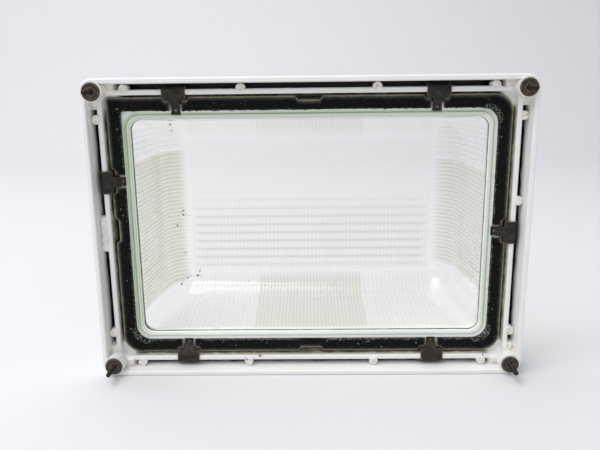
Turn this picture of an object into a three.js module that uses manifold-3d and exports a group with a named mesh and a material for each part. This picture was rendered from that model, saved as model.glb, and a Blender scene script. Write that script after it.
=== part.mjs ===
// Glazed front cover of a rectangular wall-pack floodlight.
//
// A die-cast frame holds a pressed glass bowl by its flange. Six spring clips straddle the frame's
// inner wall and press the flange onto a soft ring on the bezel, felt strips on the flange seal it
// to the lamp housing, and four captive screws in the corner bosses fasten the cover.
//
// Millimetres, +Z up, X along the long side. The open rear side, which goes onto the housing, faces
// -Y and the bowl stands out towards +Y. Depths are measured along +Y from the rear rim of the
// outer wall, insets inwards from the cover's outer faces. The origin is the bottom centre of the
// whole assembly's box.

import * as THREE from 'three';
import { mergeVertices } from 'three/addons/utils/BufferGeometryUtils.js';
import Module from 'manifold-3d';

const wasm = await Module();
wasm.setup();

// Frame casting
const coverWidth = 360;
const coverHeight = 252;
const frameDepth = 32;
const frameCorner = 10;
const frontRounding = 4;
const rimChamfer = 0.8;
const outerWall = 4.2;
const channelWidth = 5.2;
const channelCorner = 5;
const innerWall = 4;
const innerWallRim = 11;
const wallDraft = 0.035;
const bezel = 3.6;
const pocketCorner = 5;

// Corner bosses, the webs that tie them to the inner wall, and the ejector posts of the channel
const bossInset = 10.1;
const bossRadius = 8.4;
const bossProud = 1.6;
const webReach = 21;
const webRim = 9;
const webSlope = 0.12;
const postRadius = 3.7;
const postOverlap = 2.9;
const postRim = 9.6;
const endPostInset = 32;
const middlePostSpacing = 109;
const topSidePostInset = 32.5;
const bottomSidePostInset = 36;
const leftPostOffset = -5;
const rightPostOffset = 24;

// Glass
const flangeThickness = 6;
const flangeLip = 18;
const flangeClearance = 1.5;
const flangeCorner = 18;
const glassThickness = 5;
const bowlDepth = 92;
const bowlDraft = THREE.MathUtils.degToRad(5);
const mouthRounding = 2.5;
const mouthCorner = 9;
const floorCorner = 24;
const floorFillet = 22;
const sharpCorner = 1;

// Soft pieces
const seatSealThickness = 2.8;
const seatSealMargin = 2;
const feltThickness = 3.4;
const feltWidth = 11.4;
const feltClearance = 1.6;
const feltOuterCorner = 15;
const feltInnerCorner = 13;
const feltSquareCorner = 3;
const notchMouth = 22.6;
const notchFloor = 17.9;
const notchDepth = 3.2;

// Spring clips
const clipThickness = 1;
const saddleWidth = 19;
const tongueWidth = 8;
const slotClearance = 0.5;
const saddleLegLength = 5;
const saddleFlare = 2.2;
const saddleBend = 1.2;
const saddleDrop = 2.4;
const tongueOverhang = 2.6;
const tongueBow = 0.5;
const tongueTipLift = 0.7;
const dimpleRadius = 1.75;
const dimpleDepth = 0.4;

// Each clip's distance from the nearer corner of its wall; the right one's is from the middle
const topLeftClipInset = 71.7;
const topRightClipInset = 76.6;
const leftClipInset = 84;
const rightClipOffset = -3;
const bottomLeftClipInset = 72.4;
const bottomRightClipInset = 74.8;

// Captive screws and their push-on retainers
const screwDiameter = 4;
const boreDiameter = 5;
const headDiameter = 8;
const headHeight = 3.2;
const driveSlotWidth = 1.2;
const driveSlotDepth = 1.5;
const recessDiameter = 11;
const recessDepth = 8;
const captiveTravel = 8;
const screwEndDepth = -20;
const screwPoint = 0.8;
const retainerDiameter = 14;
const retainerThickness = 0.9;
const retainerHeight = 2.2;
const retainerFillet = 0.3;
const toothSlotCount = 8;
const toothSlotLength = 2.1;
const toothSlotWidth = 0.9;

// Gaps between touching pieces, and steps of round surfaces
const fit = 0.3;
const cornerSteps = 7;
const roundSteps = 28;
const filletSteps = 6;
const weldTolerance = 1e-4;

// Places that follow from the sizes above
const halfWidth = coverWidth / 2;
const halfHeight = coverHeight / 2;
const seatDepth = frameDepth - bezel;
const innerWallInset = outerWall + channelWidth;
const postInset = innerWallInset + postOverlap - postRadius;
const sealRear = seatDepth - fit - seatSealThickness;
const flangeFront = sealRear - fit;
const flangeRear = flangeFront - flangeThickness;
const feltFront = flangeRear - fit;
const feltRear = feltFront - feltThickness;
const pocketInset = (depth) => innerWallInset + innerWall + wallDraft * (depth - innerWallRim);
const flangeInset = pocketInset(seatDepth) + flangeClearance;
const mouthInset = flangeInset + flangeLip;
const feltInset = pocketInset(feltRear) + feltClearance;
const feltInnerInset = feltInset + feltWidth;
const bowlOuterInset = mouthInset - glassThickness;
const bossRear = -bossProud;
const retainerRear = bossRear - fit - retainerHeight;
const screwSeat = frameDepth - recessDepth;
const headUnderside = screwSeat + fit + captiveTravel;
const bowlFront = flangeRear + bowlDepth + glassThickness;
const assemblyCentre = (screwEndDepth + bowlFront) / 2;

// Each wall's turn about +Y, from the bottom wall's own frame: x along it, y depth, z inset.
const walls = {
  bottom: { turn: 0, origin: [0, 0] },
  left: { turn: Math.PI / 2, origin: [-halfWidth, halfHeight] },
  top: { turn: Math.PI, origin: [0, coverHeight] },
  right: { turn: -Math.PI / 2, origin: [halfWidth, halfHeight] },
};
const corners = {
  top_left: [-1, 1],
  top_right: [1, 1],
  bottom_left: [-1, -1],
  bottom_right: [1, -1],
};

// How far each clip sits from the middle of its wall, towards +X or +Z
const clips = {
  clip_top_left: ['top', topLeftClipInset - halfWidth],
  clip_top_right: ['top', halfWidth - topRightClipInset],
  clip_left: ['left', halfHeight - leftClipInset],
  clip_right: ['right', rightClipOffset],
  clip_bottom_left: ['bottom', bottomLeftClipInset - halfWidth],
  clip_bottom_right: ['bottom', halfWidth - bottomRightClipInset],
};
const emptyNotches = [['top', 0], ['bottom', 0], ['left', 0]];

/** A closed three.js geometry as a manifold-3d solid. */
function solidOf(geometry) {
  const bare = geometry.clone();
  bare.deleteAttribute('normal');
  bare.deleteAttribute('uv');
  const merged = mergeVertices(bare, weldTolerance);
  return new wasm.Manifold(new wasm.Mesh({
    numProp: 3,
    vertProperties: merged.attributes.position.array,
    triVerts: new Uint32Array(merged.index.array),
  }));
}

/** A manifold-3d solid as a three.js geometry. */
function geometryOf(solid) {
  const mesh = solid.getMesh();
  const geometry = new THREE.BufferGeometry();
  geometry.setAttribute('position', new THREE.BufferAttribute(new Float32Array(mesh.vertProperties), 3));
  geometry.setIndex(new THREE.BufferAttribute(new Uint32Array(mesh.triVerts), 1));
  geometry.computeVertexNormals();
  return geometry;
}

/** Outline of a rounded rectangle inset from the cover's faces, with one radius for each corner. */
function roundedOutline(inset, radius, topLeftRadius = radius) {
  const right = halfWidth - inset;
  const top = halfHeight - inset;
  const shape = new THREE.Shape();
  shape.absarc(right - radius, top - radius, radius, 0, Math.PI / 2);
  shape.absarc(-right + topLeftRadius, top - topLeftRadius, topLeftRadius, Math.PI / 2, Math.PI);
  shape.absarc(-right + radius, -top + radius, radius, Math.PI, 1.5 * Math.PI);
  shape.absarc(right - radius, -top + radius, radius, 1.5 * Math.PI, 2 * Math.PI);
  shape.closePath();
  return shape;
}

/** Flat plate with the given outline in the cover's plane, between two depths. */
function plate(shape, rear, front) {
  const options = { depth: front - rear, bevelEnabled: false, curveSegments: cornerSteps };
  const geometry = new THREE.ExtrudeGeometry(shape, options);
  geometry.rotateX(Math.PI / 2);
  geometry.translate(0, front, halfHeight);
  return geometry;
}

/** Points of one rounded-rectangle ring, counter-clockwise as seen from the rear. */
function ring({ inset, radius, depth }) {
  const points = [];
  const right = halfWidth - inset - radius;
  const top = halfHeight - inset - radius;
  const centres = [[right, top], [-right, top], [-right, -top], [right, -top]];
  centres.forEach(([x, z], quarter) => {
    for (let step = 0; step <= cornerSteps; step += 1) {
      const angle = (quarter + step / cornerSteps) * Math.PI / 2;
      points.push(x + radius * Math.cos(angle), depth, halfHeight + z + radius * Math.sin(angle));
    }
  });
  return points;
}

/** Closed body lofted through rounded-rectangle rings, given from the rear to the front. */
function loft(sections) {
  const perRing = 4 * (cornerSteps + 1);
  const index = [];
  for (let level = 0; level + 1 < sections.length; level += 1) {
    for (let step = 0; step < perRing; step += 1) {
      const here = level * perRing + step;
      const next = level * perRing + (step + 1) % perRing;
      index.push(here, here + perRing, next, next, here + perRing, next + perRing);
    }
  }
  const last = (sections.length - 1) * perRing;
  for (let step = 1; step + 1 < perRing; step += 1) {
    index.push(0, step, step + 1, last, last + step + 1, last + step);
  }
  const geometry = new THREE.BufferGeometry();
  geometry.setAttribute('position', new THREE.Float32BufferAttribute(sections.flatMap(ring), 3));
  geometry.setIndex(index);
  return geometry;
}

/** Cylinder along the depth at a place in the cover's plane. */
function cylinder(x, z, radius, rear, front) {
  const geometry = new THREE.CylinderGeometry(radius, radius, front - rear, roundSteps);
  geometry.translate(x, (rear + front) / 2, z);
  return geometry;
}

/** Place of a corner boss's axis in the cover's plane. */
function bossPlace([sideX, sideZ]) {
  return [sideX * (halfWidth - bossInset), halfHeight + sideZ * (halfHeight - bossInset)];
}

/** Moves a geometry from the bottom wall's own frame to a place along any wall. */
function onWall(geometry, wallName, offset) {
  const { turn, origin } = walls[wallName];
  const upright = wallName === 'left' || wallName === 'right';
  geometry.rotateY(turn);
  geometry.translate(origin[0] + (upright ? 0 : offset), 0, origin[1] + (upright ? offset : 0));
  return geometry;
}

/** Round posts beside the inner wall, where the ejector pins pushed the casting out. */
function ejectorPosts() {
  const long = [-halfWidth + endPostInset, -middlePostSpacing / 2, middlePostSpacing / 2,
    halfWidth - endPostInset];
  const upright = (middle) => [halfHeight - topSidePostInset, middle, -halfHeight + bottomSidePostInset];
  const places = {
    top: long,
    bottom: long,
    left: upright(leftPostOffset),
    right: upright(rightPostOffset),
  };
  return Object.entries(places).flatMap(([wallName, offsets]) => offsets.map((offset) => {
    const post = cylinder(0, postInset, postRadius, postRim, seatDepth + fit);
    return solidOf(onWall(post, wallName, offset));
  }));
}

/** Tapered block in the shell that fills the channel's corner and ties a boss to the inner wall. */
function cornerWeb([sideX, sideZ], shell) {
  const height = seatDepth + fit - webRim;
  const rearHalf = webReach / 2;
  const frontHalf = rearHalf + webSlope * height;
  const block = new THREE.CylinderGeometry(rearHalf * Math.SQRT2, frontHalf * Math.SQRT2, height, 4);
  block.rotateY(Math.PI / 4);
  block.rotateX(Math.PI);
  const centre = rimChamfer + frontHalf;
  block.translate(sideX * (halfWidth - centre), webRim + height / 2,
    halfHeight + sideZ * (halfHeight - centre));
  return solidOf(block).intersect(shell);
}

/** The frame: one casting with two walls, a channel, bosses, webs, posts and a bezel. */
function doorFrame() {
  const rounding = [0, 1, 2, 3, 4].map((step) => {
    const angle = step * Math.PI / 8;
    const inset = frontRounding * (1 - Math.cos(angle));
    const depth = frameDepth - frontRounding * (1 - Math.sin(angle));
    return { inset, radius: frameCorner - inset, depth };
  });
  const shell = solidOf(loft([
    { inset: rimChamfer, radius: frameCorner - rimChamfer, depth: 0 },
    { inset: 0, radius: frameCorner, depth: rimChamfer },
    ...rounding,
  ]));
  const channel = solidOf(loft([
    { inset: outerWall - 2 * rimChamfer, radius: channelCorner, depth: -rimChamfer },
    { inset: outerWall, radius: channelCorner, depth: rimChamfer },
    { inset: outerWall + wallDraft * seatDepth, radius: channelCorner, depth: seatDepth },
  ]));
  const innerBlock = solidOf(loft([
    { inset: innerWallInset + rimChamfer, radius: channelCorner, depth: innerWallRim },
    { inset: innerWallInset, radius: channelCorner, depth: innerWallRim + rimChamfer },
    { inset: innerWallInset - wallDraft * (seatDepth - innerWallRim), radius: channelCorner,
      depth: seatDepth + fit },
  ]));
  const coneLength = 4 * rimChamfer;
  const coneFront = innerWallRim + rimChamfer;
  const pocketMouth = solidOf(loft([
    { inset: pocketInset(innerWallRim) - coneLength, radius: pocketCorner, depth: coneFront - coneLength },
    { inset: pocketInset(innerWallRim), radius: pocketCorner, depth: coneFront },
    { inset: pocketInset(flangeRear), radius: pocketCorner, depth: flangeRear },
  ]));
  const seatCorner = flangeCorner + flangeClearance;
  const seat = solidOf(loft([
    { inset: pocketInset(flangeRear), radius: seatCorner, depth: flangeRear - fit },
    { inset: pocketInset(seatDepth), radius: seatCorner, depth: seatDepth },
  ]));
  const openingInset = bowlOuterInset - seatSealMargin;
  const openingCorner = mouthCorner + glassThickness + seatSealMargin;
  const opening = solidOf(loft([
    { inset: openingInset, radius: openingCorner, depth: seatDepth - fit },
    { inset: openingInset, radius: openingCorner, depth: frameDepth + fit },
  ]));
  const places = Object.values(corners);
  const bosses = places.map((corner) => {
    const [x, z] = bossPlace(corner);
    return solidOf(cylinder(x, z, bossRadius, bossRear, frameDepth - frontRounding));
  });
  const holes = places.flatMap((corner) => {
    const [x, z] = bossPlace(corner);
    return [
      solidOf(cylinder(x, z, boreDiameter / 2, bossRear - fit, frameDepth + fit)),
      solidOf(cylinder(x, z, recessDiameter / 2, screwSeat, frameDepth + fit)),
    ];
  });
  const walled = shell.subtract(channel).add(innerBlock);
  const webs = places.map((corner) => cornerWeb(corner, shell));
  const filled = [...webs, ...ejectorPosts(), ...bosses]
    .reduce((body, piece) => body.add(piece), walled);
  return [pocketMouth, seat, opening, ...holes].reduce((body, cut) => body.subtract(cut), filled);
}

/** Rings of one side of the bowl, from its mouth to its floor. */
function bowlSections(inset, mouthRadius, floorRadius, fillet, rear, floor) {
  const slope = Math.tan(bowlDraft);
  const filletSpan = fillet * (1 - Math.sin(bowlDraft));
  const filletStart = floor - filletSpan;
  const wallInset = inset + slope * (filletStart - rear);
  const sections = [{ inset, radius: mouthRadius, depth: rear }];
  for (let step = 0; step <= filletSteps; step += 1) {
    const angle = bowlDraft + (step / filletSteps) * (Math.PI / 2 - bowlDraft);
    const shrink = fillet * (Math.cos(bowlDraft) - Math.cos(angle));
    const depth = floor - fillet * (1 - Math.sin(angle));
    const radius = floorRadius - shrink * (floorRadius - sharpCorner) / (fillet * Math.cos(bowlDraft));
    sections.push({ inset: wallInset + shrink, radius, depth });
  }
  return sections;
}

/** The pressed glass: a flange and a drafted bowl with a rounded floor and a rounded mouth. */
function glassRefractor() {
  const floor = flangeRear + bowlDepth;
  const flange = solidOf(plate(roundedOutline(flangeInset, flangeCorner), flangeRear, flangeFront));
  const outside = solidOf(loft(bowlSections(bowlOuterInset, mouthCorner + glassThickness,
    floorCorner + glassThickness, floorFillet + glassThickness, flangeFront - glassThickness / 2,
    floor + glassThickness)));
  const inside = solidOf(loft(bowlSections(mouthInset, mouthCorner, floorCorner, floorFillet,
    flangeRear - fit, floor)));
  const bellMouth = solidOf(loft([0, 1, 2, 3].map((step) => {
    const angle = step * Math.PI / 6;
    const flare = mouthRounding * (1 - Math.sin(angle));
    return {
      inset: mouthInset - flare,
      radius: mouthCorner + flare,
      depth: flangeRear + mouthRounding * (1 - Math.cos(angle)) - (step === 0 ? fit : 0),
    };
  })));
  return flange.add(outside).subtract(inside).subtract(bellMouth);
}

/** Soft ring between the flange and the bezel. */
function seatSeal() {
  const outline = roundedOutline(flangeInset + seatSealMargin, flangeCorner - seatSealMargin);
  const innerInset = bowlOuterInset - 2 * seatSealMargin;
  outline.holes.push(roundedOutline(innerInset, mouthCorner + glassThickness + 2 * seatSealMargin));
  return solidOf(plate(outline, sealRear, sealRear + seatSealThickness));
}

/** Cutter for one notch of the felt: a trapezium open to the felt's outer edge. */
function notchCutter(wallName, offset) {
  const floorInset = feltInset + notchDepth;
  const slope = (notchMouth - notchFloor) / 2 / notchDepth;
  const outerHalf = notchMouth / 2 + slope * feltClearance;
  const outerInset = feltInset - feltClearance;
  const shape = new THREE.Shape([
    new THREE.Vector2(-outerHalf, outerInset),
    new THREE.Vector2(outerHalf, outerInset),
    new THREE.Vector2(notchFloor / 2, floorInset),
    new THREE.Vector2(-notchFloor / 2, floorInset),
  ]);
  const length = feltThickness + 2 * fit;
  const geometry = new THREE.ExtrudeGeometry(shape, { depth: length, bevelEnabled: false });
  geometry.rotateX(Math.PI / 2);
  geometry.translate(0, feltFront + fit, 0);
  return solidOf(onWall(geometry, wallName, offset));
}

/** Cutter for the slot that a clip's tongue passes through. */
function slotCutter(wallName, offset) {
  const length = feltWidth + 2 * feltClearance;
  const box = new THREE.BoxGeometry(tongueWidth + 2 * slotClearance, feltThickness + 2 * fit, length);
  box.translate(0, (feltRear + feltFront) / 2, feltInset + feltWidth / 2);
  return solidOf(onWall(box, wallName, offset));
}

/** Felt strips on the flange: one ring, notched, and cut through at each clip. */
function feltStrips() {
  const outline = roundedOutline(feltInset, feltOuterCorner, feltSquareCorner);
  outline.holes.push(roundedOutline(feltInnerInset, feltInnerCorner, sharpCorner));
  const cuts = [
    ...Object.values(clips).flatMap((place) => [notchCutter(...place), slotCutter(...place)]),
    ...emptyNotches.map((place) => notchCutter(...place)),
  ];
  const felt = cuts.reduce((body, cut) => body.subtract(cut), solidOf(plate(outline, feltRear, feltFront)));
  const nameOf = (solid) => {
    const { min, max } = solid.boundingBox();
    const x = (min[0] + max[0]) / 2;
    const z = (min[2] + max[2]) / 2 - halfHeight;
    if (Math.abs(x) < halfWidth / 4) {
      return z > 0 ? 'felt_strip_top' : 'felt_strip_bottom';
    }
    return `felt_strip_${z > 0 ? 'upper' : 'lower'}_${x > 0 ? 'right' : 'left'}`;
  };
  return felt.decompose().map((solid) => [nameOf(solid), solid]);
}

/** Bent strip: a centre line of [inset, depth] points given a thickness, and a width along the wall. */
function bentStrip(points, width) {
  const line = points.map(([inset, depth]) => new THREE.Vector2(inset, depth));
  const side = (sign) => line.map((point, step) => {
    const before = line[Math.max(step - 1, 0)];
    const after = line[Math.min(step + 1, line.length - 1)];
    const into = point.clone().sub(before).normalize();
    const out = after.clone().sub(point).normalize();
    const along = into.clone().add(out).normalize();
    const reach = (clipThickness / 2) / Math.max(along.dot(step === 0 ? out : into), 0.5);
    return new THREE.Vector2(point.x - sign * along.y * reach, point.y + sign * along.x * reach);
  });
  const shape = new THREE.Shape([...side(1), ...side(-1).reverse()]);
  const geometry = new THREE.ExtrudeGeometry(shape, { depth: width, bevelEnabled: false });
  geometry.translate(0, 0, -width / 2);
  geometry.rotateY(-Math.PI / 2);
  return solidOf(geometry);
}

/** Spring clip in the bottom wall's own frame: a saddle over the inner wall, and a tongue. */
function springClip() {
  const half = clipThickness / 2;
  const top = innerWallRim - fit - half;
  const outerLeg = innerWallInset - fit - half;
  const innerLeg = innerWallInset + innerWall + fit + half;
  const saddleEnd = feltInset + notchDepth - slotClearance;
  const contact = flangeRear - fit - half;
  const tip = feltInnerInset + tongueOverhang;
  const shoulder = [
    [innerLeg - saddleBend, top],
    [innerLeg + saddleBend / 2, top + saddleBend / 3],
    [saddleEnd, top + saddleDrop],
  ];
  const saddle = [
    [outerLeg - saddleFlare, top + saddleLegLength + saddleFlare],
    [outerLeg, top + saddleLegLength - saddleBend],
    [outerLeg, top + saddleBend],
    [outerLeg + saddleBend, top],
    ...shoulder,
  ];
  const tongue = [
    ...shoulder,
    [feltInnerInset - tongueOverhang, contact - tongueBow],
    [feltInnerInset - tongueOverhang / 3, contact],
    [tip, contact - tongueTipLift],
  ];
  const dimple = new THREE.SphereGeometry(dimpleRadius, 14, 10);
  dimple.scale(1, dimpleDepth / dimpleRadius, 1);
  dimple.translate(0, contact - tongueBow - half, feltInnerInset - tongueOverhang);
  return bentStrip(saddle, saddleWidth).add(bentStrip(tongue, tongueWidth)).subtract(solidOf(dimple));
}

/** Body of revolution about the depth axis, from [radius, depth] points that start and end on it. */
function turned(points) {
  return new THREE.LatheGeometry(points.map(([radius, depth]) => new THREE.Vector2(radius, depth)),
    roundSteps);
}

/** Captive screw on the depth axis, with a slotted head at the front. */
function captiveScrew() {
  const radius = screwDiameter / 2;
  const headRadius = headDiameter / 2;
  const headTop = headUnderside + headHeight;
  const body = solidOf(turned([
    [0, screwEndDepth],
    [radius - screwPoint / 2, screwEndDepth],
    [radius, screwEndDepth + screwPoint],
    [radius, headUnderside],
    [headRadius, headUnderside],
    [headRadius, headTop - headHeight / 3],
    [headRadius - headHeight / 3, headTop],
    [0, headTop],
  ]));
  const slot = new THREE.BoxGeometry(headDiameter + 2, driveSlotDepth + 1, driveSlotWidth);
  slot.translate(0, headTop + 0.5 - driveSlotDepth / 2, 0);
  return body.subtract(solidOf(slot));
}

/** Push-on retainer on the depth axis: a shallow cap with spring teeth around the screw. */
function pushOnRetainer() {
  const radius = retainerDiameter / 2;
  const holeRadius = screwDiameter / 2 + fit;
  const front = retainerRear + retainerHeight;
  const profile = [
    [holeRadius, retainerRear],
    [radius - retainerThickness, retainerRear],
    [radius, retainerRear + retainerThickness],
    [radius, front],
    [radius - retainerThickness, front],
    [radius - retainerThickness, retainerRear + retainerThickness + retainerFillet],
    [holeRadius, retainerRear + retainerThickness],
    [holeRadius, retainerRear],
  ];
  const cap = solidOf(turned(profile));
  const slots = Array.from({ length: toothSlotCount }, (_, tooth) => {
    const slot = new THREE.BoxGeometry(toothSlotWidth, retainerHeight, toothSlotLength + fit);
    slot.translate(0, retainerRear + retainerThickness, holeRadius + (toothSlotLength - fit) / 2);
    slot.rotateY((tooth + 0.5) * 2 * Math.PI / toothSlotCount);
    return solidOf(slot);
  });
  return slots.reduce((body, slot) => body.subtract(slot), cap);
}

const whitePaint = () => new THREE.MeshStandardMaterial({ color: 0xe8e7e0, roughness: 0.45, metalness: 0 });
const pressedGlass = () => new THREE.MeshStandardMaterial({ color: 0xd3dfcf, roughness: 0.08, metalness: 0 });
const softWhite = () => new THREE.MeshStandardMaterial({ color: 0xb9b6aa, roughness: 0.8, metalness: 0 });
const blackFelt = () => new THREE.MeshStandardMaterial({ color: 0x17181a, roughness: 0.95, metalness: 0 });
const blackenedSteel = () => new THREE.MeshStandardMaterial({ color: 0x2e2a28, roughness: 0.5, metalness: 0.8 });
const darkZinc = () => new THREE.MeshStandardMaterial({ color: 0x35322d, roughness: 0.55, metalness: 0.8 });

const cover = new THREE.Group();
cover.position.y = -assemblyCentre;

/** Adds a named piece to the cover. */
function addPiece(name, geometry, material) {
  const mesh = new THREE.Mesh(geometry, material);
  mesh.name = name;
  cover.add(mesh);
  return mesh;
}

addPiece('door_frame', geometryOf(doorFrame()), whitePaint());
addPiece('glass_refractor', geometryOf(glassRefractor()), pressedGlass());
addPiece('seat_seal', geometryOf(seatSeal()), softWhite());
feltStrips().forEach(([name, solid]) => addPiece(name, geometryOf(solid), blackFelt()));

const clipGeometry = geometryOf(springClip());
Object.entries(clips).forEach(([name, [wallName, offset]]) => {
  addPiece(name, onWall(clipGeometry.clone(), wallName, offset), blackenedSteel());
});

const screwGeometry = geometryOf(captiveScrew());
const retainerGeometry = geometryOf(pushOnRetainer());
Object.entries(corners).forEach(([name, corner]) => {
  const [x, z] = bossPlace(corner);
  addPiece(`screw_${name}`, screwGeometry, blackenedSteel()).position.set(x, 0, z);
  addPiece(`retainer_${name}`, retainerGeometry, darkZinc()).position.set(x, 0, z);
});

export default cover;
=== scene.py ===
from math import radians

import bmesh
import bpy
import numpy as np
from mathutils.bvhtree import BVHTree
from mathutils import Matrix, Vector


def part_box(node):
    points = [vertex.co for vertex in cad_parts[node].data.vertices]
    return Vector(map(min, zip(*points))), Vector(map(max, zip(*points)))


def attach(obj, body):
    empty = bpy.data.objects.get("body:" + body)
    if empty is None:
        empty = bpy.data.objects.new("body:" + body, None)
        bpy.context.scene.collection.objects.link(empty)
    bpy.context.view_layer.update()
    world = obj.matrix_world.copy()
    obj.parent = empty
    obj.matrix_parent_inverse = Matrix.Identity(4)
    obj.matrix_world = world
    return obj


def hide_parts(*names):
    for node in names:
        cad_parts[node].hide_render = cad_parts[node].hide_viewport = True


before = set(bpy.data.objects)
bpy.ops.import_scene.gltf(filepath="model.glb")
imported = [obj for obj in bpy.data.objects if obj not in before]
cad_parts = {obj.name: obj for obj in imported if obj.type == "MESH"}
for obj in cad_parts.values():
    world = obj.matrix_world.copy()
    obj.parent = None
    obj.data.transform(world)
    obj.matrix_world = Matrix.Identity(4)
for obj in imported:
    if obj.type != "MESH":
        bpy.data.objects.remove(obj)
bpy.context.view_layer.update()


# Camera. It looks down into the open rear side of the cover, level with the top of the frame.
# Focal length and sensor give a 50 degree view across the picture's width.
camera_data = bpy.data.cameras.new("camera")
camera_data.sensor_width = 36.0
camera_data.lens = 38.4
camera = bpy.data.objects.new("camera", camera_data)
camera.location = (-0.0004, -0.5562, 0.2554)
camera.rotation_euler = (radians(76.52), radians(0.665), radians(0.715))
bpy.context.scene.collection.objects.link(camera)
bpy.context.scene.camera = camera
bpy.context.scene.view_settings.view_transform = "Standard"


# Sweep: one sheet of matt white studio card that runs along the floor and curves up behind.
def linear(hex_colour):
    """sRGB hex digits as a linear RGBA colour: each channel is undone by the sRGB curve."""
    channels = np.array([int(hex_colour[i:i + 2], 16) / 255 for i in (1, 3, 5)])
    low, high = channels / 12.92, ((channels + 0.055) / 1.055) ** 2.4
    return (*np.where(channels <= 0.04045, low, high), 1.0)


eased = {"interpolation_type": "SMOOTHSTEP"}


def new_material(name):
    """An empty node material of that name."""
    made = bpy.data.materials.new(name)
    made.use_nodes = True
    made.node_tree.nodes.clear()
    return made


# Pattern scales count features in a metre, so a scale of 700 gives features of 1000 / 700 = 1.4 mm.
def add_node(material, kind, settings=None, stops=None, **sockets):
    """Adds a shader node. settings are its properties, stops a ramp's (place, hex) pairs, and each
    named socket takes a value, or a link from another node: from its first output, or the one given."""
    made = material.node_tree.nodes.new("ShaderNode" + kind)
    for name, value in (settings or {}).items():
        setattr(made, name, value)
    for number, (place, colour) in enumerate(stops or []):
        elements = made.color_ramp.elements
        element = elements[number] if number < 2 else elements.new(place)
        element.position, element.color = place, linear(colour)
    for name, value in sockets.items():
        found = [s for s in made.inputs if s.identifier == name]
        socket = (found or [s for s in made.inputs if s.name == name.replace("_", " ")])[0]
        if isinstance(value, bpy.types.Node):
            value = value.outputs[0]
        if isinstance(value, bpy.types.NodeSocket):
            material.node_tree.links.new(value, socket)
        else:
            socket.default_value = value
    return made


def mesh_object(name, points, faces, material, smooth=True, weld=1e-7, **values):
    """A mesh object from an (n, 3) array of points and (m, 3) or (m, 4) arrays of corner numbers.
    Points that coincide are merged, and faces that this leaves without an area are dropped. Each
    further name becomes an attribute with one number for each point."""
    mesh = bpy.data.meshes.new(name)
    lists = [faces] if isinstance(faces, np.ndarray) else faces
    corners = np.concatenate([part.ravel() for part in lists])
    sizes = np.concatenate([np.full(len(part), part.shape[1]) for part in lists])
    starts = np.concatenate([[0], np.cumsum(sizes)[:-1]])
    mesh.vertices.add(len(points))
    mesh.vertices.foreach_set("co", np.ascontiguousarray(points, np.float32).ravel())
    mesh.loops.add(len(corners))
    mesh.loops.foreach_set("vertex_index", corners.astype(np.int32))
    mesh.polygons.add(len(sizes))
    mesh.polygons.foreach_set("loop_start", starts.astype(np.int32))
    mesh.update(calc_edges=True)
    for value_name, numbers in values.items():
        layer = mesh.attributes.new(value_name, "FLOAT", "POINT")
        layer.data.foreach_set("value", np.ascontiguousarray(numbers, np.float32).ravel())
    work = bmesh.new()
    work.from_mesh(mesh)
    bmesh.ops.remove_doubles(work, verts=work.verts, dist=weld)
    bmesh.ops.dissolve_degenerate(work, edges=work.edges, dist=weld)
    work.to_mesh(mesh)
    work.free()
    mesh.polygons.foreach_set("use_smooth", np.full(len(mesh.polygons), smooth))
    mesh.update()
    mesh.materials.append(material)
    made = bpy.data.objects.new(name, mesh)
    bpy.context.scene.collection.objects.link(made)
    return made


def grid_faces(rows, columns, wrap=False):
    """Corner numbers of the quads between neighbouring points of a grid that is numbered row by row.
    wrap joins each row's last point to its first."""
    row = np.arange(rows - 1)[:, None] * columns
    column = np.arange(columns if wrap else columns - 1)[None, :]
    after = (column + 1) % columns
    quads = [row + column, row + after, row + columns + after, row + columns + column]
    return np.stack(quads, -1).reshape(-1, 4)


# Studio card: uncoated white board, rolled smooth. It is matt, without a visible grain.
card = new_material("white studio card")
card_shader = add_node(card, "BsdfPrincipled", Base_Color=linear("#e2e2e4"), Roughness=0.9)
add_node(card, "OutputMaterial", Surface=card_shader)

sweep_side, sweep_front, sweep_back, sweep_radius, sweep_top = 4.0, -2.5, 1.3, 0.8, 3.0
bend = np.linspace(0, np.pi / 2, 24)
sweep_y = np.concatenate([[sweep_front], sweep_back + sweep_radius * np.sin(bend),
                          [sweep_back + sweep_radius]])
sweep_z = np.concatenate([[0], sweep_radius * (1 - np.cos(bend)), [sweep_top]])
sweep_points = np.stack([np.stack([np.full_like(sweep_y, side), sweep_y, sweep_z], -1)
                         for side in (sweep_side, -sweep_side)]).reshape(-1, 3)
sweep = mesh_object("sweep", sweep_points, grid_faces(2, len(sweep_y)), card)


# Light: an evenly lit studio, with one large soft lamp over the left shoulder and a fill at the right.
world = bpy.data.worlds.new("studio")
world.use_nodes = True
world.node_tree.nodes["Background"].inputs["Color"].default_value = linear("#eef0f5")
world.node_tree.nodes["Background"].inputs["Strength"].default_value = 0.56
bpy.context.scene.world = world
for lamp_name, place, aim, size, watts, shine in (
    ("key", (-1.3, -1.5, 2.7), (0, 0, 0.1), 2.2, 48, 1.0),
    ("fill", (1.6, -1.0, 1.4), (0, 0, 0.1), 1.6, 1, 1.0),
    ("top", (-0.8, 0.3, 2.4), (-0.2, 0.2, 0), 2.0, 28, 0.4),
):
    lamp_data = bpy.data.lights.new(lamp_name, "AREA")
    lamp_data.size, lamp_data.energy, lamp_data.specular_factor = size, watts, shine
    lamp = bpy.data.objects.new(lamp_name, lamp_data)
    lamp.location = place
    aim_line = np.array(aim) - np.array(place)
    flat_length = np.hypot(aim_line[0], aim_line[1])
    lamp.rotation_euler = (np.arctan2(flat_length, -aim_line[2]), 0, np.arctan2(-aim_line[0], aim_line[1]))
    bpy.context.scene.collection.objects.link(lamp)


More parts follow.
